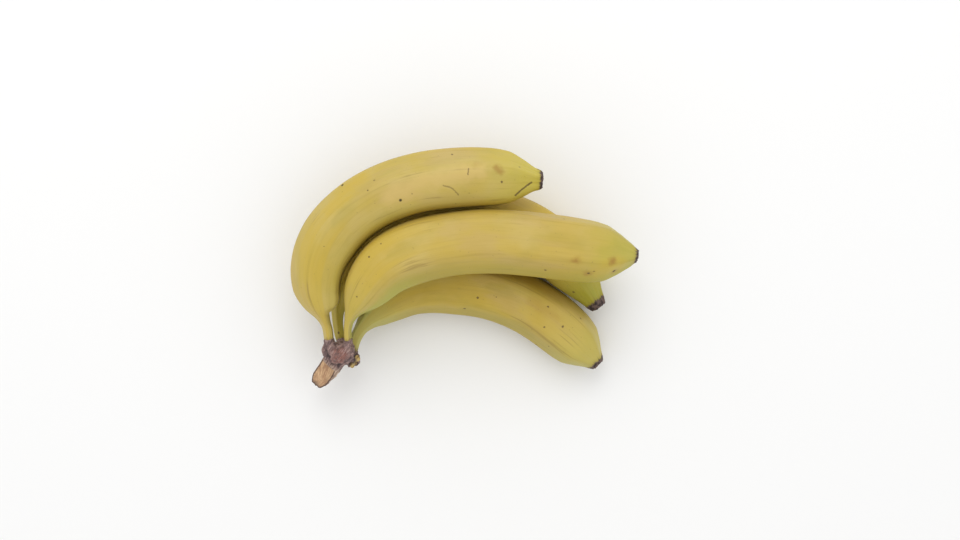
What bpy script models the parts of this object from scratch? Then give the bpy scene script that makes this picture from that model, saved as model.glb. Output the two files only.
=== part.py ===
"""A hand of four bananas that grow from one crown and lie in two layers.

Metres, +Z up. The origin is on the ground, under the middle of the whole hand. The fingers curve round
in the XY plane: two lie on the ground, the other two rest on top of them, and the crown with its cut
stub stands free of the ground at the low end of -X.
"""
import math

import bmesh
import bpy
import numpy as np
from mathutils import Matrix, Vector

# Driving dimensions
FULL_RADIUS = 0.018          # a finger's mean radius where it is thickest
GAP = 0.0003                 # clearance between a neck and its socket in the crown
FACES = (0, 70, 146, 215, 290)             # directions of a finger's five flat sides, degrees
FACE_SHARES = (1.0, 1.02, 0.98, 1.015, 0.99)  # how far out each flat side stands
ROUND, ANGULAR = 5.5, 8.0    # how square the edges between the sides are, mid-length and at the ends
AROUND = 30                  # points around a finger
STATIONS = 44                # rings along a finger
CUT_NORMAL = Vector((-0.45, -0.29, 0.85)).normalized()  # the knife's cut across the stub

# A finger's radius as a share of its full radius: distance from the crown end, then from the tip
NECK = ((0, 0.16), (0.003, 0.20), (0.006, 0.225), (0.015, 0.25), (0.021, 0.34), (0.030, 0.58),
        (0.042, 0.80), (0.060, 0.94), (0.082, 1.0))
TIP = ((0, 0.29), (0.001, 0.33), (0.004, 0.385), (0.012, 0.64), (0.021, 0.87), (0.033, 0.965),
       (0.052, 1.0))
NECK_OVAL = (0.010, 0.038)   # the necks are oval, and round off between these distances from the crown
TIP_END = 0.0026             # how far back the closing in of a tip reaches
# The shoulder where a body starts from its neck: how far out the side inside the curve stands, as a
# share of the rest, by distance from the crown end
SHOULDER = ((0, 1), (0.011, 0.95), (0.0155, 0.66), (0.0205, 0.50), (0.0230, 0.92), (0.0255, 1.36),
            (0.029, 1.28), (0.036, 1.0), (0.046, 0.92), (0.070, 1.0))

# Each finger: its girth as a share of FULL_RADIUS, how far its flat sides are rolled round in degrees,
# its neck's width as a share of round, how drawn out its neck and tip are, how much its tip closes in at
# the very end, how much of the shoulder it has, and points in millimetres along its middle from the
# crown end to the tip
FINGERS = {
    "finger_1": (0.975, 20, 0.70, 0.9, 1.0, 0.0, 1.0,
                 ((-82, -48, 36), (-83.1, -35.5, 37), (-87.5, -18.5, 40.5), (-85.2, 7, 43.5),
                  (-67.5, 31.5, 45), (-39.5, 47.0, 46), (1, 53.5, 45), (46, 52.8, 40.5))),
    "finger_2": (1.035, -10, 0.52, 1.05, 0.93, 0.28, 0.0,
                 ((-70.2, -48, 36.5), (-70.7, -35.5, 39), (-63.5, -18.4, 44.5), (-46.9, 2.3, 50.7),
                  (-17, 14.0, 50.9), (15.5, 17.0, 52.1), (57, 13.4, 52.6), (102.5, 7.8, 47.5))),
    "finger_3": (0.967, 35, 0.74, 1.3, 1.45, 0.1, 0.0,
                 ((-75, -48.5, 23.5), (-78.3, -34, 21), (-76.6, -15.5, 17.5), (-59.5, 10.5, 16),
                  (-30, 28.5, 16), (6.5, 33, 16), (49, 16, 16), (82.4, -23.6, 13))),
    "finger_4": (0.95, 0, 0.86, 1.12, 0.82, 0.08, 0.0,
                 ((-69.7, -54.2, 24.5), (-68.4, -46, 24.3), (-64.9, -38.0, 23.2), (-54.3, -26, 19),
                  (-34, -13, 16.5), (-7.5, -10, 16.4), (21.3, -15.2, 16.4), (53.4, -32.3, 16.4),
                  (82, -59, 14.5))),
}
PEEL = {"finger_1": (0.60, 0.44, 0.12), "finger_2": (0.58, 0.45, 0.12),
        "finger_3": (0.50, 0.42, 0.10), "finger_4": (0.55, 0.43, 0.11)}

# The crown: centres and half sizes, in millimetres, of the lumps that grew together into it
LUMPS = (((-76.6, -52, 29.8), (9.2, 7.5, 12.5)),     # the cushion itself
         ((-81.1, -49.8, 35.2), (5.8, 6.2, 6.0)),   # where each neck grows out of it
         ((-71.2, -49.8, 35.8), (4.7, 6.2, 6.0)),
         ((-75.6, -50.2, 24.2), (5.8, 6.2, 6.0)),
         ((-69.2, -55.4, 25.3), (4.9, 5.2, 5.8)),
         ((-67.2, -56.0, 30.5), (3.2, 3.6, 4.0)))   # a scrap of the neighbouring crown
# The stub of the stalk: middle, half width and half height, in millimetres, from the crown outward
STUB = (((-77, -51.5, 29.5), 7.0, 8.0), ((-80.7, -57, 29), 6.8, 7.8), ((-84.7, -62.8, 28), 6.2, 6.8),
        ((-89.4, -68.3, 26.8), 5.3, 5.8), ((-92.6, -71.8, 26), 3.3, 3.6))


def new_collection(name):
    collection = bpy.data.collections.new(name)
    bpy.context.scene.collection.children.link(collection)
    return collection


def smooth_steps(table, x):
    """The table's values at x, joined by curves that never overshoot a step."""
    at, value = np.array(table).T
    width = np.diff(at)
    rise = np.diff(value) / width
    slope = np.zeros(len(at))
    slope[0] = rise[0]
    i = np.flatnonzero(rise[:-1] * rise[1:] > 0)
    slope[i + 1] = 2 * rise[i] * rise[i + 1] / (rise[i] + rise[i + 1])
    x = np.clip(x, at[0], at[-1])
    i = np.clip(np.searchsorted(at, x, side="right") - 1, 0, len(width) - 1)
    t = (x - at[i]) / width[i]
    return ((1 + 2 * t) * (1 - t) ** 2 * value[i] + t * (1 - t) ** 2 * width[i] * slope[i]
            + t * t * (3 - 2 * t) * value[i + 1] + t * t * (t - 1) * width[i] * slope[i + 1])


def centreline(points):
    """A natural cubic spline: positions at the finger's stations, and how far along each one is."""
    p = np.array(points) / 1000
    t = np.concatenate(([0], np.cumsum(np.linalg.norm(np.diff(p, axis=0), axis=1))))
    h = np.diff(t)[:, None]
    matrix, right = np.eye(len(p)), np.zeros_like(p)
    for i in range(1, len(p) - 1):
        matrix[i, i - 1:i + 2] = h[i - 1, 0], 2 * (h[i - 1, 0] + h[i, 0]), h[i, 0]
        right[i] = 6 * ((p[i + 1] - p[i]) / h[i] - (p[i] - p[i - 1]) / h[i - 1])
    bend = np.linalg.solve(matrix, right)
    x = np.linspace(0, t[-1], 800)
    i = np.clip(np.searchsorted(t, x, side="right") - 1, 0, len(h) - 1)
    before, after = (x - t[i])[:, None], (t[i + 1] - x)[:, None]
    line = ((bend[i] * after ** 3 + bend[i + 1] * before ** 3) / (6 * h[i])
            + (p[i] / h[i] - bend[i] * h[i] / 6) * after
            + (p[i + 1] / h[i] - bend[i + 1] * h[i] / 6) * before)
    run = np.concatenate(([0], np.cumsum(np.linalg.norm(np.diff(line, axis=0), axis=1))))
    share = np.linspace(0, 1, STATIONS)
    along = run[-1] * (share - 0.1 * np.sin(2 * math.pi * share))   # closer together at both ends
    return np.stack([np.interp(along, run, line[:, k]) for k in range(3)], axis=1), along


def finger_rings(girth, roll, neck_width, neck_drawn, tip_drawn, tip_closed, shoulder, points, extra=0.0):
    """Rings of points round a finger. Its section is a pentagon with rounded edges."""
    middle, along = centreline(points)
    length = along[-1]
    radius = (girth * FULL_RADIUS * smooth_steps(NECK, along / neck_drawn)
              * smooth_steps(TIP, (length - along) / tip_drawn)
              * (1 - tip_closed * np.exp(-((length - along) / TIP_END) ** 2)))
    inside = shoulder * (smooth_steps(SHOULDER, along) - 1)
    fade = np.clip((along - NECK_OVAL[0]) / (NECK_OVAL[1] - NECK_OVAL[0]), 0, 1)
    squeeze = (1 - neck_width) * (1 - fade * fade * (3 - 2 * fade))
    tangent = np.gradient(middle, along, axis=0)
    tangent /= np.linalg.norm(tangent, axis=1)[:, None]
    up = np.array((0, 0, 1.0)) - tangent[:, 2:] * tangent
    up /= np.linalg.norm(up, axis=1)[:, None]
    side = np.cross(tangent, up)
    angle = np.linspace(0, 2 * math.pi, AROUND, endpoint=False)
    rings = []
    for k in range(STATIONS):
        edge = ROUND + (ANGULAR - ROUND) * abs(2 * along[k] / length - 1) ** 2
        reach = sum((np.maximum(0, np.cos(angle - math.radians(face + roll))) / share) ** edge
                    for face, share in zip(FACES, FACE_SHARES)) ** (-1 / edge)
        reach *= radius[k] / math.sqrt(np.mean(reach ** 2))
        reach *= 1 + inside[k] * np.maximum(0, np.sin(angle)) ** 2
        high = (reach * (1 + squeeze[k] / 2) + extra) * np.cos(angle)
        wide = (reach * (1 - squeeze[k]) + extra) * np.sin(angle)
        rings.append(middle[k] + high[:, None] * up[k] + wide[:, None] * side[k])
    return rings


def loft(name, rings, collection, on_ground=False):
    """A closed body through rings that all have the same number of points."""
    bm = bmesh.new()
    rows = [[bm.verts.new((p[0], p[1], max(p[2], 0) if on_ground else p[2])) for p in ring] for ring in rings]
    for a, b in zip(rows, rows[1:]):
        for i in range(len(a)):
            bm.faces.new((a[i - 1], a[i], b[i], b[i - 1]))
    ends = [bm.faces.new(rows[0]), bm.faces.new(rows[-1])]
    bmesh.ops.poke(bm, faces=ends)
    bmesh.ops.recalc_face_normals(bm, faces=bm.faces)
    return add_object(name, bm, collection)


def add_object(name, bm, collection):
    mesh = bpy.data.meshes.new(name)
    bm.to_mesh(mesh)
    bm.free()
    mesh.shade_smooth()
    part = bpy.data.objects.new(name, mesh)
    collection.objects.link(part)
    return part


def material(part, name, colour, roughness):
    skin = bpy.data.materials.new(name)
    skin.use_nodes = True
    shader = skin.node_tree.nodes["Principled BSDF"]
    shader.inputs["Base Color"].default_value = (*colour, 1)
    shader.inputs["Roughness"].default_value = roughness
    part.data.materials.append(skin)


def cut_with(part, cutter, solver="EXACT"):
    cutter.hide_render = True
    cutter.display_type = "WIRE"
    cut = part.modifiers.new("cut_" + cutter.name, "BOOLEAN")
    cut.operation, cut.solver, cut.object = "DIFFERENCE", solver, cutter


for old in list(bpy.data.objects):
    bpy.data.objects.remove(old)
parts = new_collection("banana_hand")
cutters = new_collection("cutters")

# The fingers. Where one lies on the ground its underside is pressed flat.
for name, shape in FINGERS.items():
    finger = loft(name, finger_rings(*shape), parts, on_ground=True)
    material(finger, name + "_peel", PEEL[name], 0.45)

# The crown: lumps and the tapering stub, grown into one body by a voxel remesh
bm = bmesh.new()
for centre, half_sizes in LUMPS:
    place = Matrix.Translation(Vector(centre) / 1000) @ Matrix.Diagonal(Vector(half_sizes) / 1000).to_4x4()
    bmesh.ops.create_icosphere(bm, subdivisions=3, radius=1, matrix=place)
middles = [Vector(middle) / 1000 for middle, _, _ in STUB]
outward = (middles[-1] - middles[0]).normalized()
across = outward.cross(Vector((0, 0, 1))).normalized()
upward = across.cross(outward)
rows = [[bm.verts.new(middle + across * (wide / 1000 * math.cos(a)) + upward * (high / 1000 * math.sin(a)))
         for a in np.linspace(0, 2 * math.pi, 20, endpoint=False)]
        for middle, (_, wide, high) in zip(middles, STUB)]
for a, b in zip(rows, rows[1:]):
    for i in range(len(a)):
        bm.faces.new((a[i - 1], a[i], b[i], b[i - 1]))
bm.faces.new(rows[0])
bm.faces.new(rows[-1])
bmesh.ops.recalc_face_normals(bm, faces=bm.faces)
crown = add_object("crown", bm, parts)
material(crown, "crown_bark", (0.23, 0.13, 0.08), 0.8)
remesh = crown.modifiers.new("grow_together", "REMESH")
remesh.mode, remesh.voxel_size, remesh.use_smooth_shade = "VOXEL", 0.0011, True
soften = crown.modifiers.new("soften", "SMOOTH")
soften.factor, soften.iterations = 0.5, 12
thin = crown.modifiers.new("thin", "DECIMATE")
thin.ratio = 0.35

# The knife's slanting cut takes the top off the stub
bm = bmesh.new()
bmesh.ops.create_cube(bm, size=0.03)
bmesh.ops.translate(bm, verts=bm.verts, vec=(0, 0, 0.015))
turn = CUT_NORMAL.to_track_quat("Z", "Y").to_matrix().to_4x4()
bmesh.ops.transform(bm, verts=bm.verts, matrix=Matrix.Translation((-0.0920, -0.0705, 0.0255)) @ turn)
cut_with(crown, add_object("knife_cut", bm, cutters))

# Sockets for the four necks
for name, shape in FINGERS.items():
    rings = finger_rings(*shape, extra=GAP)[:11]
    inward = Vector(rings[0].mean(axis=0) - rings[1].mean(axis=0)).normalized()
    rings[0] = rings[0] + GAP * np.array(inward)
    cut_with(crown, loft(name + "_socket", rings, cutters))
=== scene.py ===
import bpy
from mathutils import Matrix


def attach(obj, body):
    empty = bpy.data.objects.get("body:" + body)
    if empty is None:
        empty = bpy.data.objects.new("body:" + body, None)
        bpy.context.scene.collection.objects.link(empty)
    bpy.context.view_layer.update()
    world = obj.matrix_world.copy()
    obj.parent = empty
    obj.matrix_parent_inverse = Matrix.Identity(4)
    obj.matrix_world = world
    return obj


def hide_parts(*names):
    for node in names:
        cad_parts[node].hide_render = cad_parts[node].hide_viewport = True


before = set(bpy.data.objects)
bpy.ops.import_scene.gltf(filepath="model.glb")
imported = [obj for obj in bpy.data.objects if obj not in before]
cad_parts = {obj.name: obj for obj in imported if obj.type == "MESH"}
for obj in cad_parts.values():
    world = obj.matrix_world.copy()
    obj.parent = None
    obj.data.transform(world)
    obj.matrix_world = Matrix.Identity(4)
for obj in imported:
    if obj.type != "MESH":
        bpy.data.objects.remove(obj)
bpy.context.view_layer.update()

import math

import bmesh
import bpy
import numpy as np
from mathutils import Matrix, Vector, noise
from mathutils.kdtree import KDTree

# The four bananas. Each is one fruit that grew in one piece: soft flesh in a thick waxy peel with five
# blunt ridges, a narrow neck that comes out of the crown, and at the far end the dried, blackened
# remains of the flower. Two lie on the ground and two rest on top of them.
FULL_RADIUS = 0.018          # mean radius where a banana is thickest
FACES = (0, 70, 146, 215, 290)                # directions of the five flat sides, degrees
FACE_SHARES = (1.0, 1.02, 0.98, 1.015, 0.99)  # how far out each flat side stands
RIDGES = [(a + b) / 2 for a, b in zip(FACES, FACES[1:] + (360,))]   # the ridges lie halfway between
ROUND, ANGULAR = 6.8, 10.5   # how square the ridges are, mid-length and at the ends
AROUND, STATIONS = 144, 340
# Radius as a share of the full radius: distance from the crown end, then from the tip
NECK = ((0, 0.16), (0.003, 0.20), (0.006, 0.225), (0.015, 0.25), (0.021, 0.34), (0.030, 0.58),
        (0.042, 0.80), (0.060, 0.94), (0.082, 1.0))
TIP = ((0, 0.29), (0.001, 0.33), (0.004, 0.385), (0.012, 0.64), (0.021, 0.87), (0.033, 0.965),
       (0.052, 1.0))
NECK_OVAL = (0.010, 0.038)   # the necks are oval, and round off between these distances
TIP_END = 0.0026             # how far back the closing in of a tip reaches
# The shoulder where the body starts from the neck: how far out the side inside the curve stands, as a
# share of the rest, by distance from the crown end
SHOULDER = ((0, 1), (0.011, 0.95), (0.0155, 0.66), (0.0205, 0.50), (0.0230, 0.92), (0.0255, 1.36),
            (0.029, 1.28), (0.036, 1.0), (0.046, 0.92), (0.070, 1.0))
# Girth, roll of the flat sides in degrees, neck's width as a share of round, how drawn out the neck and
# the tip are, how much the tip closes in at its very end, how much of the shoulder there is, and points
# in millimetres along the middle from the crown end to the tip
BANANAS = {
    "finger_1": (0.975, 20, 0.70, 0.9, 1.0, 0.0, 1.0,
                 ((-82, -48, 36), (-83.1, -35.5, 37), (-87.5, -18.5, 40.5), (-85.2, 7, 43.5),
                  (-67.5, 31.5, 45), (-39.5, 47.0, 46), (1, 53.5, 45), (46, 52.8, 40.5))),
    "finger_2": (1.035, -10, 0.52, 1.05, 0.93, 0.28, 0.0,
                 ((-70.2, -48, 36.5), (-70.7, -35.5, 39), (-63.5, -18.4, 44.5), (-46.9, 2.3, 50.7),
                  (-17, 14.0, 50.9), (15.5, 17.0, 52.1), (57, 13.4, 52.6), (102.5, 7.8, 47.5))),
    "finger_3": (0.967, 35, 0.74, 1.3, 1.45, 0.1, 0.0,
                 ((-75, -48.5, 23.5), (-78.3, -34, 21), (-76.6, -15.5, 17.5), (-59.5, 10.5, 16),
                  (-30, 28.5, 16), (6.5, 33, 16), (49, 16, 16), (82.4, -23.6, 13))),
    "finger_4": (0.95, 0, 0.86, 1.12, 0.82, 0.08, 0.0,
                 ((-69.7, -54.2, 24.5), (-68.4, -46, 24.3), (-64.9, -38.0, 23.2), (-54.3, -26, 19),
                  (-34, -13, 16.5), (-7.5, -10, 16.4), (21.3, -15.2, 16.4), (53.4, -32.3, 16.4),
                  (82, -59, 14.5))),
}


def smooth_steps(table, x):
    """The table's values at x, joined by curves that never overshoot a step."""
    at, value = np.array(table).T
    width = np.diff(at)
    rise = np.diff(value) / width
    slope = np.zeros(len(at))
    slope[0] = rise[0]
    i = np.flatnonzero(rise[:-1] * rise[1:] > 0)
    slope[i + 1] = 2 * rise[i] * rise[i + 1] / (rise[i] + rise[i + 1])
    x = np.clip(x, at[0], at[-1])
    i = np.clip(np.searchsorted(at, x, side="right") - 1, 0, len(width) - 1)
    t = (x - at[i]) / width[i]
    return ((1 + 2 * t) * (1 - t) ** 2 * value[i] + t * (1 - t) ** 2 * width[i] * slope[i]
            + t * t * (3 - 2 * t) * value[i + 1] + t * t * (t - 1) * width[i] * slope[i + 1])


def smooth_edge(x, low, high):
    """0 below low and 1 above high, with a soft step between them; the other way round if low > high."""
    t = np.clip((x - low) / (high - low), 0, 1)
    return t * t * (3 - 2 * t)


def centreline(points, stations):
    """A natural cubic spline: positions at the stations, and how far along each one is."""
    p = np.array(points) / 1000
    t = np.concatenate(([0], np.cumsum(np.linalg.norm(np.diff(p, axis=0), axis=1))))
    h = np.diff(t)[:, None]
    matrix, right = np.eye(len(p)), np.zeros_like(p)
    for i in range(1, len(p) - 1):
        matrix[i, i - 1:i + 2] = h[i - 1, 0], 2 * (h[i - 1, 0] + h[i, 0]), h[i, 0]
        right[i] = 6 * ((p[i + 1] - p[i]) / h[i] - (p[i] - p[i - 1]) / h[i - 1])
    bend = np.linalg.solve(matrix, right)
    x = np.linspace(0, t[-1], 1600)
    i = np.clip(np.searchsorted(t, x, side="right") - 1, 0, len(h) - 1)
    before, after = (x - t[i])[:, None], (t[i + 1] - x)[:, None]
    line = ((bend[i] * after ** 3 + bend[i + 1] * before ** 3) / (6 * h[i])
            + (p[i] / h[i] - bend[i] * h[i] / 6) * after
            + (p[i + 1] / h[i] - bend[i + 1] * h[i] / 6) * before)
    run = np.concatenate(([0], np.cumsum(np.linalg.norm(np.diff(line, axis=0), axis=1))))
    share = np.linspace(0, 1, stations)
    along = run[-1] * (share - 0.1 * np.sin(2 * math.pi * share))   # closer together at both ends
    return np.stack([np.interp(along, run, line[:, k]) for k in range(3)], axis=1), along


def grain(places, cell, shift=0):
    """Smooth noise between about -1 and 1 at the places, with lumps about as big as the cell."""
    rows = (places / np.array(cell) + 17.3 * shift).reshape(-1, 3)
    return np.array([noise.noise(row) for row in rows.tolist()]).reshape(places.shape[:-1])


def banana_rings(shape, along, middle, relief=None, extra=0.0):
    """Points round the banana at each station, and the coordinates of a straightened banana."""
    girth, roll, neck_width, neck_drawn, tip_drawn, tip_closed, shoulder, _ = shape
    length = along[-1]
    radius = (girth * FULL_RADIUS * smooth_steps(NECK, along / neck_drawn)
              * smooth_steps(TIP, (length - along) / tip_drawn)
              * (1 - tip_closed * np.exp(-((length - along) / TIP_END) ** 2)))
    inside = (shoulder * (smooth_steps(SHOULDER, along) - 1))[:, None]
    squeeze = ((1 - neck_width) * (1 - smooth_edge(along, *NECK_OVAL)))[:, None]
    tangent = np.gradient(middle, along, axis=0)
    tangent /= np.linalg.norm(tangent, axis=1)[:, None]
    up = np.array((0, 0, 1.0)) - tangent[:, 2:] * tangent
    up /= np.linalg.norm(up, axis=1)[:, None]
    side = np.cross(tangent, up)
    angle = np.linspace(0, 2 * math.pi, AROUND, endpoint=False)[None, :]
    edge = (ROUND + (ANGULAR - ROUND) * abs(2 * along / length - 1) ** 2)[:, None]
    reach = sum((np.maximum(0, np.cos(angle - math.radians(face + roll))) / share) ** edge
                for face, share in zip(FACES, FACE_SHARES)) ** (-1 / edge)
    reach *= (radius / np.sqrt(np.mean(reach ** 2, axis=1)))[:, None]
    straight = np.stack(np.broadcast_arrays(FULL_RADIUS * np.cos(angle), FULL_RADIUS * np.sin(angle),
                                            along[:, None]), axis=-1)
    if relief is not None:
        reach = reach + relief(straight, reach, length)
    reach = reach * (1 + inside * np.maximum(0, np.sin(angle)) ** 2)
    high = (reach * (1 + squeeze / 2) + extra) * np.cos(angle)
    wide = (reach * (1 - squeeze) + extra) * np.sin(angle)
    rings = middle[:, None] + high[..., None] * up[:, None] + wide[..., None] * side[:, None]
    return rings, straight, tangent


def peel_relief(straight, reach, length):
    """How far the skin stands out of or sinks below the smooth form, in metres."""
    along, to_tip = straight[..., 2], length - straight[..., 2]
    shift = length * 1000
    swell = grain(straight, (0.030, 0.030, 0.045), shift) * 0.00045 - 0.0001
    dents = grain(straight, (0.009, 0.009, 0.016), shift + 1) * 0.00013
    fibres = grain(straight, (0.0042, 0.0042, 0.060), shift + 2)
    ribs = (smooth_edge(along, 0.075, 0.020) * 0.00022
            + smooth_edge(to_tip, 0.022, 0.004) * 0.00028 + 0.00004)
    torn = grain(straight, (0.004, 0.004, 0.0022), shift + 3) * smooth_edge(to_tip, 0.0030, 0.0) * 0.0006
    narrow = np.minimum(1, reach / 0.008)
    return (swell + dents + fibres * ribs) * narrow + torn


# The dried flower's rings: size as a share of the last ring of peel, and how far out in millimetres
FLOWER = ((0.97, 0.25), (0.91, 0.42), (0.84, 0.25), (0.75, -0.35), (0.64, -0.85), (0.53, -1.05),
          (0.42, -1.0), (0.33, -0.55), (0.26, 0.15), (0.19, 0.6), (0.11, 0.8), (0.04, 0.85))


def flower_end(last_ring, middle, outward, shift):
    """Rings that close the tip: a crumbled rim, a hollow, and the dried stump of the flower in it."""
    rings = []
    for share, depth in FLOWER:
        ring = middle + (last_ring - middle) * share
        rough = grain(ring, 0.0013, shift) * 0.45 + grain(ring, 0.0005, shift) * 0.2
        rings.append(ring + outward * ((depth + rough) / 1000)[:, None])
    return rings


def add_mesh(name, points, faces, attributes=()):
    """A smooth mesh object; each attribute is its name, 3 or 1 numbers a point, and the values."""
    mesh = bpy.data.meshes.new(name)
    mesh.from_pydata(points.tolist(), [], faces)
    mesh.validate()
    for label, kind, values in attributes:
        layer = mesh.attributes.new(label, "FLOAT_VECTOR" if kind == 3 else "FLOAT", "POINT")
        values = np.asarray(values, dtype=np.float32).ravel()
        layer.data.foreach_set("vector" if kind == 3 else "value", values)
    mesh.shade_smooth()
    piece = bpy.data.objects.new(name, mesh)
    bpy.context.scene.collection.objects.link(piece)
    return piece


def grow_banana(name, shape):
    """One banana's skin, closed at the crown end by a flat cap and at the tip by the dried flower."""
    middle, along = centreline(shape[-1], STATIONS)
    rings, straight, tangent = banana_rings(shape, along, middle, peel_relief)
    closing = flower_end(rings[-1], middle[-1], tangent[-1], len(name) + shape[1])
    rows = np.concatenate([rings, np.array(closing)])
    beyond = np.repeat(straight[-1:], len(closing), axis=0)
    beyond[..., 2] += 0.002
    flat = np.concatenate([straight, beyond])
    count = len(rows)
    points = rows.reshape(-1, 3)
    points[:, 2] = np.maximum(points[:, 2], 0)      # pressed flat where it lies on the ground
    grid = np.arange(count * AROUND).reshape(count, AROUND)
    a, b = grid[:-1], grid[1:]
    quads = np.stack([np.roll(a, 1, 1), a, b, np.roll(b, 1, 1)], axis=-1).reshape(-1, 4)
    faces = quads.tolist() + [grid[0].tolist(), grid[-1][::-1].tolist()]
    facing = np.degrees(np.arctan2(flat[..., 1], flat[..., 0])) - shape[1]
    corner = np.min([np.abs((facing - at + 180) % 360 - 180) for at in RIDGES], axis=0)
    ridge = smooth_edge(corner, 9, 0)
    banana = add_mesh(name + "_banana", points, faces,
                      (("straight", 3, flat), ("ridge", 1, ridge)))
    return banana, along[-1]


class Tone:
    """A socket in a material's nodes. Sums written with it add Math nodes; node() adds any other."""

    def __init__(self, tree, socket=None):
        self.tree, self.socket = tree, socket

    def node(self, kind, settings={}, values={}, out=0):
        made = self.tree.nodes.new("ShaderNode" + kind)
        for setting, value in settings.items():
            setattr(made, setting, value)
        for name, value in values.items():
            if isinstance(value, Tone):
                self.tree.links.new(value.socket, made.inputs[name])
            else:
                made.inputs[name].default_value = value
        return Tone(self.tree, made.outputs[out])

    def maths(self, operation, *values):
        return self.node("Math", {"operation": operation}, dict(enumerate(values)))

    def __add__(self, other):
        return self.maths("ADD", self, other)

    def __sub__(self, other):
        return self.maths("SUBTRACT", self, other)

    def __rsub__(self, other):
        return self.maths("SUBTRACT", other, self)

    def __mul__(self, other):
        return self.maths("MULTIPLY", self, other)

    __radd__, __rmul__ = __add__, __mul__

    def most(self, other):
        return self.maths("MAXIMUM", self, other)

    def step(self, low, high):
        """0 up to low and 1 from high on, softly; the other way round if low > high."""
        return self.node("MapRange", {"interpolation_type": "SMOOTHSTEP"},
                         {"Value": self, "From Min": low, "From Max": high})

    def paint(self, below, above):
        """The colour above laid over the one below, where this mask is 1."""
        return self.node("Mix", {"data_type": "RGBA"}, {0: self, 6: colour(below), 7: colour(above)}, 2)

    def part(self, axis):
        return self.node("SeparateXYZ", {}, {0: self}, axis)

    def vector(self, operation, other, out=0):
        return self.node("VectorMath", {"operation": operation}, {0: self, 1: other}, out)

    def noise(self, scale, detail=2.0, out=0):
        """Noise between 0 and 1 at this place."""
        return self.node("TexNoise", {}, {"Vector": self, "Scale": scale, "Detail": detail}, out)


def colour(value):
    return value if isinstance(value, Tone) else (*value, 1)


def new_material(name):
    skin = bpy.data.materials.new(name)
    skin.use_nodes = True
    return skin, Tone(skin.node_tree), skin.node_tree.nodes["Principled BSDF"]


def finish_material(start, shader, tint, roughness, height, depth):
    tree = start.tree
    tree.links.new(tint.socket, shader.inputs["Base Color"])
    tree.links.new(roughness.socket, shader.inputs["Roughness"])
    bump = start.node("Bump", {}, {"Strength": 1.0, "Distance": depth, "Height": height})
    tree.links.new(bump.socket, shader.inputs["Normal"])


INK, SCAR, RUST = (0.012, 0.009, 0.007), (0.075, 0.040, 0.022), (0.33, 0.165, 0.028)
# the cream of these three only paints a highlight; gold and tan are the peel's own colours
GOLD, TAN, CREAM_HIGHLIGHT = (0.55, 0.385, 0.040), (0.50, 0.345, 0.130), (0.64, 0.465, 0.155)
# Where the green fades out and where it is full, from the crown end or from the tip; and the same for
# the brown at the crown end
GREEN_NECK, GREEN_SIDE, GREEN_TIP = (0.075, 0.030), (0.100, 0.050), (0.056, 0.010)
BROWN_NECK = (0.0115, 0.0065)
FRECKLES, SPECKS = 130, 430  # grains per metre


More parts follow.
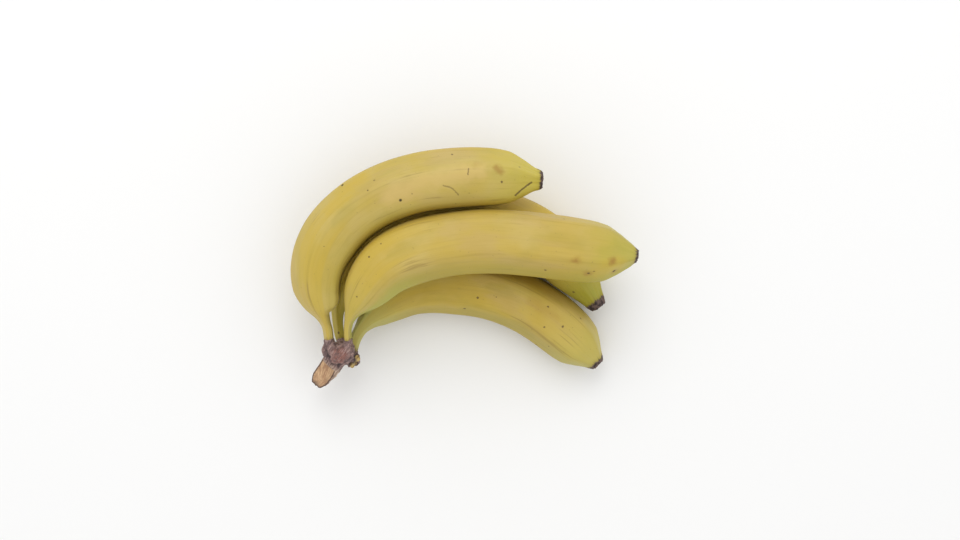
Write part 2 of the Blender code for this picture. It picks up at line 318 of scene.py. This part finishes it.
def peel(name, look, marks, banana, length):
    """Waxy banana peel: mottled yellow, green towards the ends, freckled and scarred, dark at the tip."""
    warm, pale, green, olive, (neck_green, side_green, side, tip_green, inner_olive_and_shade, face), stub = look
    skin, start, shader = new_material(name)
    shader.inputs["Specular IOR Level"].default_value = 0.33
    spot = start.node("TexCoord", out="Object")
    straight = start.node("Attribute", {"attribute_name": "straight"}, out="Vector")
    ridge = start.node("Attribute", {"attribute_name": "ridge"}, out="Fac")
    along = straight.part("Z")
    to_tip = length - along
    cloud, mottle, fine = spot.noise(26, 3), spot.noise(105, 3), spot.noise(520, 2)
    patch = straight.vector("MULTIPLY", (1, 1, 0.55)).vector("ADD", (3.1, 1.7, length)).noise(52, 5)
    tanned = straight.vector("MULTIPLY", (1, 1, 0.35)).noise(62, 4)
    band = straight.vector("MULTIPLY", (1, 1, 0.10)).noise(90, 2)
    streak = straight.vector("MULTIPLY", (1, 1, 0.05)).noise(620, 3)
    thread = straight.vector("MULTIPLY", (1, 1, 0.03)).noise(2600, 2)

    # The ground colour: warm and pale yellow in clouds, with golden bands and tan patches
    tint = (cloud.step(0.38, 0.64) * 0.7 + mottle * 0.3).paint(warm, pale)
    tint = (band.step(0.50, 0.68) * 0.55).paint(tint, GOLD)
    tint = (tanned.step(0.50, 0.64) * 0.34).paint(tint, TAN)
    tint = (patch.step(0.50, 0.34) * 0.32).paint(tint, olive)
    tint = (streak.step(0.5, 0.8) * 0.28).paint(tint, [c * 0.78 for c in warm])
    tint = (thread.step(0.45, 0.75) * 0.14).paint(tint, [c * 0.7 for c in warm])

    # Olive on the inner side of the curve, partly the peel's own colour and partly painted shade on that
    # lower side turned from the lamp; and green that hasn't ripened yet at the neck and the tip
    def facing(degrees):
        return (straight.part("X") * (math.cos(math.radians(degrees)) / FULL_RADIUS)
                + straight.part("Y") * (math.sin(math.radians(degrees)) / FULL_RADIUS))

    # the olive here is partly painted shade: darker on the inner side, away from the lamp
    inside = (facing(face) + cloud * 0.6 - 0.3).step(0.1, 0.9)
    tint = (inside * inner_olive_and_shade * (0.75 + streak * 0.5)).paint(tint, olive)
    green_side = (facing(side) + mottle * 0.5 - 0.25).step(0.05, 0.85)
    unripe = ((along + mottle * 0.03).step(*GREEN_NECK) * neck_green).most(
        (to_tip + mottle * 0.02).step(*GREEN_TIP) * tip_green).most(
        green_side * (along + mottle * 0.02).step(*GREEN_SIDE) * side_green)
    tint = (unripe * (0.75 + streak * 0.5)).paint(tint, green)
    tint = (ridge * streak.step(0.35, 0.6) * 0.22).paint(tint, [c * 0.62 for c in warm])
    scuff = (ridge * 0.10 + streak * 0.7 + patch * 0.3).step(0.60, 0.68)
    tint = (scuff * cloud.step(0.46, 0.56) * 0.35).paint(tint, (0.24, 0.145, 0.045))

    # Freckles everywhere: one grain in three, each with its own size
    cell = start.node("TexVoronoi", {}, {"Vector": spot, "Scale": FRECKLES}, "Color")
    near = start.node("TexVoronoi", {}, {"Vector": spot, "Scale": FRECKLES}, "Distance")
    size = cell.part("X") * 0.11 + 0.01
    freckle = (near - size).step(0.02, -0.02) * cell.part("Y").step(0.62, 0.66)
    tint = (freckle * 0.75).paint(tint, SCAR)
    speck = start.node("TexVoronoi", {}, {"Vector": spot, "Scale": SPECKS}, "Distance").step(0.20, 0.08)
    tint = (speck * fine.step(0.50, 0.62) * 0.40).paint(tint, (0.20, 0.13, 0.045))

    # The marks that this fruit has, and a painted highlight along finger 1's top: small ones have rough
    # edges, wide stains and the highlight spread softly
    def strayed(scale, reach):
        return spot.vector("ADD", spot.noise(scale, 2, 1).vector("MULTIPLY", (reach,) * 3)).vector(
            "SUBTRACT", (reach / 2,) * 3)

    rough_spot, loose_spot = strayed(900, 0.0010), strayed(170, 0.0070)
    above = straight.part("X").step(-0.002, 0.004)
    dents = freckle
    for stain_or_highlight, strength, width, *places in marks:
        line = [Vector((x / 1000, y / 1000, 0)) for x, y in places]
        wide = width > 2
        here = loose_spot if wide else rough_spot
        if len(line) == 1:
            far = here.vector("DISTANCE", peel_point(banana, line[0]), "Value")
        else:
            flat = here.vector("MULTIPLY", (1, 1, 0))
            far = None
            for a, b in zip(line, line[1:]):
                reach = b - a
                share = flat.vector("SUBTRACT", a).vector(
                    "DOT_PRODUCT", reach / reach.length_squared, "Value")
                share = share.node("Clamp", {}, {0: share})
                along_it = share.node("VectorMath", {"operation": "SCALE"}, {0: tuple(reach), 3: share})
                gap = flat.vector("SUBTRACT", a).vector("DISTANCE", along_it, "Value")
                far = gap if far is None else far.maths("MINIMUM", far, gap)
        mask = far.step(width / 1000, 0.0 if wide else width / 2200) * above
        tint = (mask * strength).paint(tint, stain_or_highlight)
        if not wide:
            dents = dents.most(mask * strength)

    # Brown where the neck leaves the crown, and the dried flower at the tip
    neck_rot = (along + streak * 0.008).step(*BROWN_NECK)
    tint = neck_rot.paint(tint, (0.105, 0.055, 0.040))
    char = (to_tip - streak * 0.0045 + mottle * 0.002).step(stub, stub - 0.0014)
    husk = fine.step(0.35, 0.65).paint((0.034, 0.022, 0.022), (0.150, 0.100, 0.085))
    scorch = (to_tip - streak * 0.005).step(stub + 0.0012, stub - 0.003)
    tint = (scorch * 0.4).paint(tint, [c * 0.45 for c in warm])
    tint = char.paint(tint, husk)

    dry = char.most(neck_rot)
    roughness = 0.42 + mottle * 0.12 + dents * 0.2 + dry * 0.35
    height = (streak * 0.5 + thread * 0.16 + fine * 0.22 - dents * 0.7
              + spot.noise(1700, 1) * (0.10 + dry * 0.9))
    finish_material(start, shader, tint, roughness, height, 0.00016)
    return skin


def peel_point(banana, place):
    """The point of the banana's upper side straight above or below a place on the ground."""
    points = [v.co for v in banana.data.vertices]
    straight = banana.data.attributes["straight"].data
    return tuple(min((p for k, p in enumerate(points) if straight[k].vector[0] > 0),
                     key=lambda p: (p.x - place.x) ** 2 + (p.y - place.y) ** 2))


# Marks: stain, strength, half width in millimetres, and the places seen from above, in millimetres; the
# cream band on finger 1 is a painted highlight, not a stain
MARKS = {
    "finger_1": ((GOLD, 0.65, 7.0, (-79.5, 35.7), (-70.2, 45.8), (-60.4, 54.9)),
                 # a paler cream band along the top of finger 1: a painted highlight where the light falls
                 # on its top
                 (CREAM_HIGHLIGHT, 0.7, 9.0, (-44.0, 42.0), (-22.0, 51.5), (10.0, 57.0)),
                 (INK, 0.9, 1.2, (-72.4, 49.9)), (INK, 0.9, 1.2, (-37.8, 40.2)),
                 (SCAR, 0.5, 0.9, (-53.6, 51.7)), (SCAR, 0.75, 0.9, (-8.0, 67.5)),
                 (SCAR, 0.8, 1.0, (21.9, 51.1)), (SCAR, 0.55, 0.8, (32.4, 60.3)),
                 (SCAR, 0.55, 0.6, (2.2, 58.5), (2.0, 55.2)),
                 (SCAR, 0.45, 0.6, (-12.5, 48.6), (-9.0, 47.9), (-6.3, 46.3), (-3.7, 43.4)),
                 (RUST, 0.62, 3.4, (18.4, 59.6), (20.8, 57.8)), (RUST, 0.20, 4.5, (7.0, 61.5)),
                 (SCAR, 0.75, 0.65, (30.0, 43.4), (33.6, 46.8), (39.7, 51.4)),
                 (SCAR, 0.7, 1.2, (41.5, 43.2), (43.6, 44.6))),
    "finger_2": ((GOLD, 0.5, 7.0, (78.0, -1.0), (92.0, 3.0)), (RUST, 0.55, 4.5, (72.8, -3.0)),
                 (INK, 0.75, 1.2, (72.8, -3.0)), (SCAR, 0.85, 1.0, (47.5, -1.0)),
                 (RUST, 0.65, 4.5, (88.1, -1.4)), (INK, 0.95, 1.3, (88.1, -1.4)),
                 (RUST, 0.8, 4.2, (86.3, 3.9)), (RUST, 0.7, 4.0, (65.1, 4.7))),
    "finger_3": ((SCAR, 0.7, 1.1, (66.6, -14.4)),),
    "finger_4": ((SCAR, 0.8, 0.9, (50.2, -23.3)), (SCAR, 0.7, 0.8, (48.5, -35.5)),
                 (SCAR, 0.8, 0.9, (59.4, -35.5)), (SCAR, 0.7, 1.0, (70.4, -30.3)),
                 (RUST, 0.2, 5.0, (40.0, -20.0), (56.0, -30.0))),
}
# Warm yellow, pale yellow, unripe green, olive; then how green the neck is all round and on its greener
# side, which way that side faces in degrees from the top, how green the tip is, how olive the inner side
# is (partly its own colour, partly painted shade on the side turned from the lamp) and which way it faces;
# and how long the dark end is
PEELS = {
    "finger_1": ((0.515, 0.382, 0.068), (0.55, 0.425, 0.130), (0.54, 0.470, 0.048), (0.37, 0.305, 0.060),
                 (0.10, 0.15, 100, 0.62, 0.55, 100), 0.0009),
    "finger_2": ((0.52, 0.370, 0.062), (0.55, 0.415, 0.120), (0.42, 0.43, 0.060), (0.38, 0.300, 0.038),
                 (0.22, 0.65, 115, 0.52, 0.80, 110), 0.0010),
    "finger_3": ((0.58, 0.405, 0.050), (0.61, 0.45, 0.095), (0.31, 0.32, 0.022), (0.37, 0.31, 0.034),
                 (0.40, 0.30, 100, 0.80, 0.35, 100), 0.0042),
    "finger_4": ((0.51, 0.355, 0.042), (0.55, 0.405, 0.090), (0.46, 0.46, 0.130), (0.34, 0.275, 0.033),
                 (0.55, 0.90, 285, 0.45, 0.55, 100), 0.0018),
}
for name, shape in BANANAS.items():
    banana, length = grow_banana(name, shape)
    banana.data.materials.append(peel(name + "_waxy_peel", PEELS[name], MARKS[name], banana, length))
    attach(banana, "root")
    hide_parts(name)

# The crown: the fibrous cushion where the four necks grow together, with the stub of the stalk that a
# knife cut through at a slant, and a torn scrap of the next bunch's crown. Its skin has dried to a
# purplish brown; the cut shows tan fibres. It grew in one piece and holds each neck a little way up.
LUMPS = (((-76.6, -52, 29.8), (9.2, 7.5, 12.5)),
         ((-81.1, -49.8, 35.2), (5.8, 6.2, 6.0)),
         ((-71.2, -49.8, 35.8), (4.7, 6.2, 6.0)),
         ((-75.6, -50.2, 24.2), (5.8, 6.2, 6.0)),
         ((-69.2, -55.4, 25.3), (4.9, 4.9, 5.8)),
         ((-68.2, -54.8, 30.5), (3.6, 2.8, 4.0)))
# The stub: middle, half width and half height from the crown outward, in millimetres
STUB = (((-77, -51.5, 29.5), 7.0, 8.0), ((-80.7, -57, 29), 6.8, 7.8), ((-84.7, -62.8, 28), 6.2, 6.8),
        ((-89.4, -68.3, 26.8), 5.3, 5.8), ((-92.2, -71.4, 26), 3.6, 3.9))
STUB_SQUARE = 0.82           # below 1 the stub's section is squarer than an ellipse
CUT_PLACE = np.array((-0.0920, -0.0705, 0.0246))
CUT_NORMAL = np.array(Vector((-0.50, -0.235, 0.84)).normalized())
CUT_REACH = 0.0185           # how far up the stub the slanting cut goes
VOXEL = 0.00042              # grain of the grown-together form
PIT_DEPTH = 0.0009
RED_HEART, STUB_END = (-0.0755, -0.0535, 0.0400), (-0.0925, -0.0725, 0.0250)
SLEEVES = (0.0065, 0.0065, 0.0065, 0.0045)   # how far up each neck the crown's skin laps
FAN = np.array((-0.104, -0.094))   # the crown's fibres fan out from here, seen from above
RAG_SIDE, RAG_START = np.array((0.75, -0.66, 0)), -0.0180   # the torn side towards the scrap
SCRAP = (np.array((-0.0655, -0.0535, 0.0330)), np.array((-0.0688, -0.0592, 0.0290)))  # its two ends

bm = bmesh.new()
for centre, half_sizes in LUMPS:
    place = Matrix.Translation(Vector(centre) / 1000) @ Matrix.Diagonal(Vector(half_sizes) / 1000).to_4x4()
    bmesh.ops.create_icosphere(bm, subdivisions=4, radius=1, matrix=place)


def add_tube(bm, rings):
    rows = [[bm.verts.new(tuple(p)) for p in ring] for ring in rings]
    for a, b in zip(rows, rows[1:]):
        for i in range(len(a)):
            bm.faces.new((a[i - 1], a[i], b[i], b[i - 1]))
    bm.faces.new(rows[0])
    bm.faces.new(rows[-1])


stub_middles = [Vector(middle) / 1000 for middle, _, _ in STUB]
outward = (stub_middles[-1] - stub_middles[0]).normalized()
across = outward.cross(Vector((0, 0, 1))).normalized()
upward = across.cross(outward)
corners = [[math.copysign(abs(f(a)) ** STUB_SQUARE, f(a)) for f in (math.cos, math.sin)]
           for a in np.linspace(0, 2 * math.pi, 48, endpoint=False)]
add_tube(bm, [[middle + across * (wide / 1000 * c) + upward * (high / 1000 * s) for c, s in corners]
              for middle, (_, wide, high) in zip(stub_middles, STUB)])
for shape, sleeve in zip(BANANAS.values(), SLEEVES):
    middle, along = centreline(shape[-1], STATIONS)
    rings, _, _ = banana_rings(shape, along, middle, extra=0.00045)
    add_tube(bm, rings[along < sleeve][::3, ::4])
bmesh.ops.recalc_face_normals(bm, faces=bm.faces)
mesh = bpy.data.meshes.new("crown_lumps")
bm.to_mesh(mesh)
bm.free()
lumps = bpy.data.objects.new("crown_lumps", mesh)
bpy.context.scene.collection.objects.link(lumps)
remesh = lumps.modifiers.new("grow_together", "REMESH")
remesh.mode, remesh.voxel_size = "VOXEL", VOXEL
soften = lumps.modifiers.new("soften", "SMOOTH")
soften.factor, soften.iterations = 0.5, 22
grown = bpy.data.meshes.new_from_object(lumps.evaluated_get(bpy.context.evaluated_depsgraph_get()))
bpy.data.objects.remove(lumps)

points = np.array([v.co for v in grown.vertices])
normals = np.array([v.normal for v in grown.vertices])
faces = [list(p.vertices) for p in grown.polygons]
# Coordinates that run along the fibres: round the fan, up, and outward
spread = points[:, :2] - FAN
fan = np.stack([np.arctan2(spread[:, 1], spread[:, 0]) * 0.055, points[:, 2] * 0.4,
                np.hypot(spread[:, 0], spread[:, 1]) * 0.16], axis=1)
depth = (points - CUT_PLACE) @ CUT_NORMAL
sideways = np.linalg.norm(points - CUT_PLACE - depth[:, None] * CUT_NORMAL, axis=1)
cut = (depth > 0) & (sideways < CUT_REACH)
bark = smooth_edge(points @ np.array(outward) - stub_middles[1] @ outward, -0.002, 0.004)
folds = (grain(fan, 0.0030, 3) * 0.00055 + grain(fan, 0.0012, 4) * 0.00032
         + grain(points, 0.0007, 5) * 0.00012)
ragged = smooth_edge(points @ RAG_SIDE - RAG_START, -0.001, 0.004)
folds += (grain(points, 0.0021, 11) * 0.0009 + grain(fan, 0.0016, 12) * 0.0006) * ragged
pits = smooth_edge(grain(points, 0.0034, 6), 0.30 - 0.15 * ragged, 0.62) * -PIT_DEPTH * (1 - bark)
rags = ragged * smooth_edge(grain(points, 0.0038, 13), -0.15, 0.35)
run = SCRAP[1] - SCRAP[0]
share = np.clip((points - SCRAP[0]) @ run / (run @ run), 0, 1)[:, None]
off_scrap = np.linalg.norm(points - SCRAP[0] - share * run, axis=1) + grain(points, 0.0016, 9) * 0.0006
scrap = smooth_edge(off_scrap, 0.0019, 0.0011)
torn = scrap * 0.0009 - smooth_edge(off_scrap, 0.0032, 0.0021) * (1 - scrap) * 0.0007
points = points + normals * (folds + pits + torn)[:, None]
wood = (grain(fan * (1, 1, 0.6), 0.0011, 7) * 0.00022 + grain(points, 0.0032, 8) * 0.0003)
depth = (points - CUT_PLACE) @ CUT_NORMAL
points[cut] += ((wood - depth)[:, None] * CUT_NORMAL)[cut]
uncut = KDTree(int((~cut).sum()))
for k, place in enumerate(points[~cut]):
    uncut.insert(place, k)
uncut.balance()
rim = np.array([1.0 if not sliced else float(smooth_edge(uncut.find(place)[2], 0.0013, 0.0004))
                for place, sliced in zip(points, cut)])
# painted shade: the groove round the scrap, the gap between scrap and crown, is painted dark
scrap_gap_shade_mask = smooth_edge(off_scrap, 0.0030, 0.0019) * (1 - scrap)
crown = add_mesh("crown_cushion", points, faces,
                 (("fan", 3, fan), ("cut", 1, cut.astype(float)), ("rim", 1, rim), ("bark", 1, bark),
                  ("scrap", 1, scrap), ("scrap_gap_shade", 1, scrap_gap_shade_mask), ("pit_shade", 1, pits / -PIT_DEPTH),
                  ("rags", 1, rags)))

skin, start, shader = new_material("dried_crown")
spot = start.node("TexCoord", out="Object")
fan = start.node("Attribute", {"attribute_name": "fan"}, out="Vector")
cut, rim, bark, scrap, scrap_gap_shade, pit_shade, rags = (
    start.node("Attribute", {"attribute_name": label}, out="Fac")
    for label in ("cut", "rim", "bark", "scrap", "scrap_gap_shade", "pit_shade", "rags"))
cloud, mottle, fine = spot.noise(150, 3), spot.noise(480, 3), spot.noise(1900, 2)
fibre, hair = fan.noise(950, 3), fan.noise(3200, 2)
tint = (mottle * 0.5 + fibre * 0.5).step(0.40, 0.62).paint((0.130, 0.078, 0.075), (0.39, 0.255, 0.225))
red_heart = (spot.vector("DISTANCE", RED_HEART, "Value")
             + cloud * 0.010 + fibre * 0.006).step(0.0165, 0.0105)
tint = (red_heart * fibre.step(0.35, 0.60) * 0.75).paint(tint, (0.27, 0.085, 0.055))
tint = (fibre.step(0.58, 0.70) * 0.5).paint(tint, (0.42, 0.31, 0.29))
tint = (fine.step(0.60, 0.35) * 0.35).paint(tint, (0.03, 0.018, 0.018))
stringy = (fibre * 0.7 + hair * 0.3).step(0.42, 0.60).paint((0.25, 0.145, 0.100), (0.62, 0.46, 0.33))
tint = bark.paint(tint, stringy)
# painted shade: the crown's pits are painted near-black, darker where they are deeper
tint = (pit_shade * 0.8).paint(tint, (0.035, 0.022, 0.024))
tint = (rags * mottle.step(0.35, 0.60) * 0.8).paint(tint, (0.040, 0.030, 0.034))
# painted shade in the gap round the scrap
tint = (scrap_gap_shade * 0.9).paint(tint, (0.018, 0.013, 0.014))
tint = scrap.paint(tint, fibre.step(0.40, 0.60).paint((0.24, 0.14, 0.045), (0.50, 0.36, 0.13)))
tan = (fibre * 0.6 + cloud * 0.4).step(0.38, 0.60).paint((0.40, 0.220, 0.115), (0.68, 0.45, 0.25))
tan = (hair.step(0.50, 0.68) * 0.5).paint(tan, (0.24, 0.125, 0.065))
shaded = (fan.part("X") + mottle * 0.004).step(0.0585, 0.0525)
tan = (shaded * 0.4).paint(tan, (0.27, 0.150, 0.080))
end = (spot.vector("DISTANCE", STUB_END, "Value") + cloud * 0.004).step(0.0075, 0.0035)
tan = (end * 0.75).paint(tan, (0.17, 0.115, 0.080))
tan = ((rim + mottle * 0.6 - 0.3).step(0.25, 0.8) * 0.85).paint(tan, (0.070, 0.040, 0.034))
tint = cut.step(0.35, 0.75).paint(tint, tan)
roughness = 0.62 + mottle * 0.25
height = fibre * 0.6 + hair * 0.25 + fine * 0.3
finish_material(start, shader, tint, roughness, height, 0.0003)
crown.data.materials.append(skin)
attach(crown, "root")
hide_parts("crown")

# The table it lies on: one plain pale sheet, a hair below the peel so that the two never flicker
FLOOR_DROP = 0.00002
bpy.ops.mesh.primitive_plane_add(size=6, location=(0, 0, -FLOOR_DROP))
floor = bpy.context.object
floor.name = "pale_floor"
skin, start, shader = new_material("pale_paper")
shader.inputs["Base Color"].default_value = (0.90, 0.90, 0.895, 1)
shader.inputs["Roughness"].default_value = 0.9
floor.data.materials.append(skin)

# Soft studio light: a bright room, and one wide lamp from above and behind the bulge of the bunch
world = bpy.data.worlds.new("bright_room")
bpy.context.scene.world = world
world.use_nodes = True
world.node_tree.nodes["Background"].inputs["Color"].default_value = (1, 1, 1, 1)
world.node_tree.nodes["Background"].inputs["Strength"].default_value = 0.94
bpy.context.scene.view_settings.view_transform = "Standard"


def add_lamp(name, place, aim, size, power):
    light = bpy.data.lights.new(name, "AREA")
    light.shape, light.size, light.energy = "DISK", size, power
    lamp = bpy.data.objects.new(name, light)
    lamp.location = place
    lamp.rotation_euler = (Vector(aim) - Vector(place)).to_track_quat("-Z", "Y").to_euler()
    bpy.context.scene.collection.objects.link(lamp)


add_lamp("wide_lamp", (-0.10, 0.85, 1.10), (0, 0, 0), 1.0, 4.6)

# The camera looks straight down, from a height at which its frame takes in 0.6 m of the table
CAMERA_HEIGHT, GROUND_WIDTH = 0.9, 0.6048
camera = bpy.data.cameras.new("camera")
camera.sensor_width = 36
camera.lens = camera.sensor_width * CAMERA_HEIGHT / GROUND_WIDTH
camera.clip_start, camera.clip_end = 0.05, 20
watcher = bpy.data.objects.new("camera", camera)
watcher.location = (0.009, -0.00085, CAMERA_HEIGHT)
bpy.context.scene.collection.objects.link(watcher)
bpy.context.scene.camera = watcher
